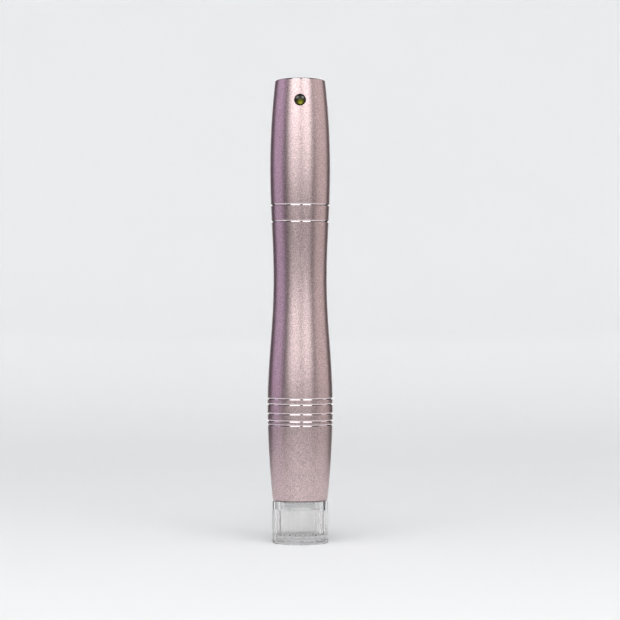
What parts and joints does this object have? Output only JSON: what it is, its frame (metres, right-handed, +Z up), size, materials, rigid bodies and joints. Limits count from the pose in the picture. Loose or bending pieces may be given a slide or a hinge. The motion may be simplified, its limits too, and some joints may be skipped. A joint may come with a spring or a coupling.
{
  "type": "microneedling pen",
  "caption": "Slim hourglass needling pen in rose-gold metal, standing on a clear faceted cap, with a turning front grip, an indicator light and a button in its tail.",
  "frame": {"origin": "middle of the clear cap's foot, on the surface that the pen stands on", "axes": "+Z up the pen to its tail; the indicator faces -Y and the charge port +Y"},
  "size_m": [0.019, 0.019, 0.135],
  "materials": {
    "shell": "sand-blasted rose gold anodised",
    "grip_shell": "sand-blasted rose gold anodised",
    "button": "satin",
    "clear_cap": "clear moulded plastic",
    "socket_plastic": "milky moulded plastic",
    "lens": "dark clear lens",
    "black_plastic": "moulded",
    "frame_plastic": "moulded",
    "steel": "turned",
    "motor_steel": "drawn",
    "brass": "turned",
    "nickel": "plated",
    "rubber": "moulded",
    "acetal": "moulded",
    "board": "solder mask",
    "battery_wrap": "shrink film",
    "wire": "insulated"
  },
  "bodies": {
    "housing": {"mid_barrel": "shell", "centre_ring": "shell", "tail_shell": "shell", "end_plug": "shell", "tact_switch": "black_plastic", "circuit_board": "board", "board_chips": "black_plastic", "indicator_led": "acetal", "led_lens": "lens", "charge_jack": "black_plastic", "port_bezel": "black_plastic", "inner_frame": "frame_plastic", "rod_bush": "brass", "grip_clip": "steel", "motor_case": "motor_steel", "motor_endbell": "black_plastic", "motor_tabs": "brass", "motor_screws": "steel", "battery": "battery_wrap", "battery_spring": "nickel", "rear_contact": "nickel", "leads": "wire"},
    "grip": {"front_grip": "grip_shell", "grip_seal": "rubber"},
    "socket": {"cartridge_socket": "socket_plastic"},
    "cap": {"protective_cap": "clear_cap"},
    "rod": {"push_rod": "steel", "cam_follower": "acetal", "follower_pin": "steel"},
    "rotor": {"motor_shaft": "steel", "drive_cam": "brass", "cam_screw": "steel"},
    "button": {"power_button": "button", "switch_plunger": "black_plastic"}
  },
  "joints": [
    {"name": "grip_turn", "type": "hinge", "parent": "housing", "child": "grip", "pos_m": [0, 0, 0.0345], "axis": [0, 0, 1], "range_deg": [0, 300]},
    {"name": "socket_travel", "type": "slide", "parent": "housing", "child": "socket", "axis": [0, 0, -1], "range_m": [0, 0.0025]},
    {"name": "cap_pull", "type": "slide", "parent": "socket", "child": "cap", "axis": [0, 0, -1], "range_m": [0, 0.04]},
    {"name": "motor_spin", "type": "hinge", "parent": "housing", "child": "rotor", "pos_m": [0, 0, 0.04], "axis": [0, 0, 1], "continuous": true},
    {"name": "rod_stroke", "type": "slide", "parent": "housing", "child": "rod", "axis": [0, 0, -1], "range_m": [0, 0.0025]},
    {"name": "button_press", "type": "slide", "parent": "housing", "child": "button", "axis": [0, 0, -1], "range_m": [0, 0.0006], "stiffness_N_per_m": 400, "springref_m": -0.0006}
  ],
  "couplings": [
    {"joint": "grip_turn", "follows": "socket_travel", "rad_per_m": 2094.4}
  ]
}
